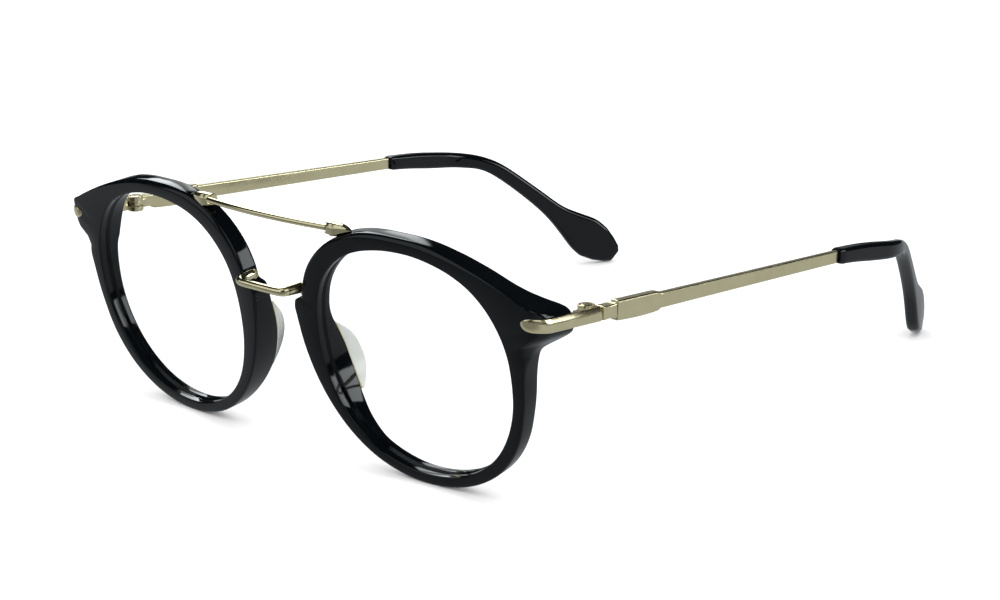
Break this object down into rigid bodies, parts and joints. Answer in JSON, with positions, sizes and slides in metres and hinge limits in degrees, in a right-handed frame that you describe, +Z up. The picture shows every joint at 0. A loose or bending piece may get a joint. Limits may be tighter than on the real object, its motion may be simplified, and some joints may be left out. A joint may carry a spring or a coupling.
{
  "type": "round eyeglasses with a double metal bridge",
  "caption": "Round full-rim eyeglasses: two separate plastic rims joined by a thin metal brow bar and a lower bridge, with sprung hinges, flat metal temples and plastic tips.",
  "frame": {"origin": "under the middle of the bounding box, on the plane the glasses stand on (lower edges of the rims and the ends of the tips)", "axes": "+X to the wearer's left, +Y from the lenses back along the open temples, +Z up; the glasses mirror across the plane x = 0"},
  "size_m": [0.1352, 0.1658, 0.0512],
  "materials": {
    "black_acetate": "polished gloss black",
    "gold_metal": "pale gold plating, satin on the flats and polished on the wires",
    "clear_lens": "clear, polished",
    "clear_pad": "clear colourless plastic, polished",
    "steel": "bright machined"
  },
  "bodies": {
    "front": {"rim_left": "black_acetate", "rim_right": "black_acetate", "lens_left": "clear_lens", "lens_right": "clear_lens", "nose_pad_left": "clear_pad", "nose_pad_right": "clear_pad", "brow_lug_left": "gold_metal", "brow_lug_right": "gold_metal", "brow_pin_left": "steel", "brow_pin_right": "steel", "bridge_pin_left": "steel", "bridge_pin_right": "steel", "endpiece_strip_left": "gold_metal", "endpiece_strip_right": "gold_metal", "endpiece_screw_left": "steel", "endpiece_screw_right": "steel", "hinge_leaf_left": "gold_metal", "hinge_leaf_right": "gold_metal", "hinge_screw_left": "gold_metal", "hinge_screw_right": "gold_metal", "brow_bar": "gold_metal", "bridge_bar": "gold_metal"},
    "slider_left": {"hinge_slider_left": "gold_metal", "slider_nut_left": "steel", "hinge_spring_left": "steel"},
    "slider_right": {"hinge_slider_right": "gold_metal", "slider_nut_right": "steel", "hinge_spring_right": "steel"},
    "temple_left": {"spring_box_left": "gold_metal", "temple_bar_left": "gold_metal", "core_wire_left": "steel", "temple_tip_left": "black_acetate"},
    "temple_right": {"spring_box_right": "gold_metal", "temple_bar_right": "gold_metal", "core_wire_right": "steel", "temple_tip_right": "black_acetate"}
  },
  "joints": [
    {"name": "fold_left", "type": "hinge", "parent": "front", "child": "slider_left", "pos_m": [0.06475, -0.05953, 0.03786], "axis": [0, 0, 1], "range_deg": [-6, 88]},
    {"name": "fold_right", "type": "hinge", "parent": "front", "child": "slider_right", "pos_m": [-0.06475, -0.05953, 0.03786], "axis": [0, 0, -1], "range_deg": [-6, 78]},
    {"name": "flex_left", "type": "slide", "parent": "slider_left", "child": "temple_left", "axis": [0, 0.9984, -0.0569], "range_m": [0, 0.0012], "stiffness_N_per_m": 500, "springref_m": -0.001, "deforming": ["hinge_spring_left"]},
    {"name": "flex_right", "type": "slide", "parent": "slider_right", "child": "temple_right", "axis": [0, 0.9984, -0.0569], "range_m": [0, 0.0012], "stiffness_N_per_m": 500, "springref_m": -0.001, "deforming": ["hinge_spring_right"]}
  ]
}
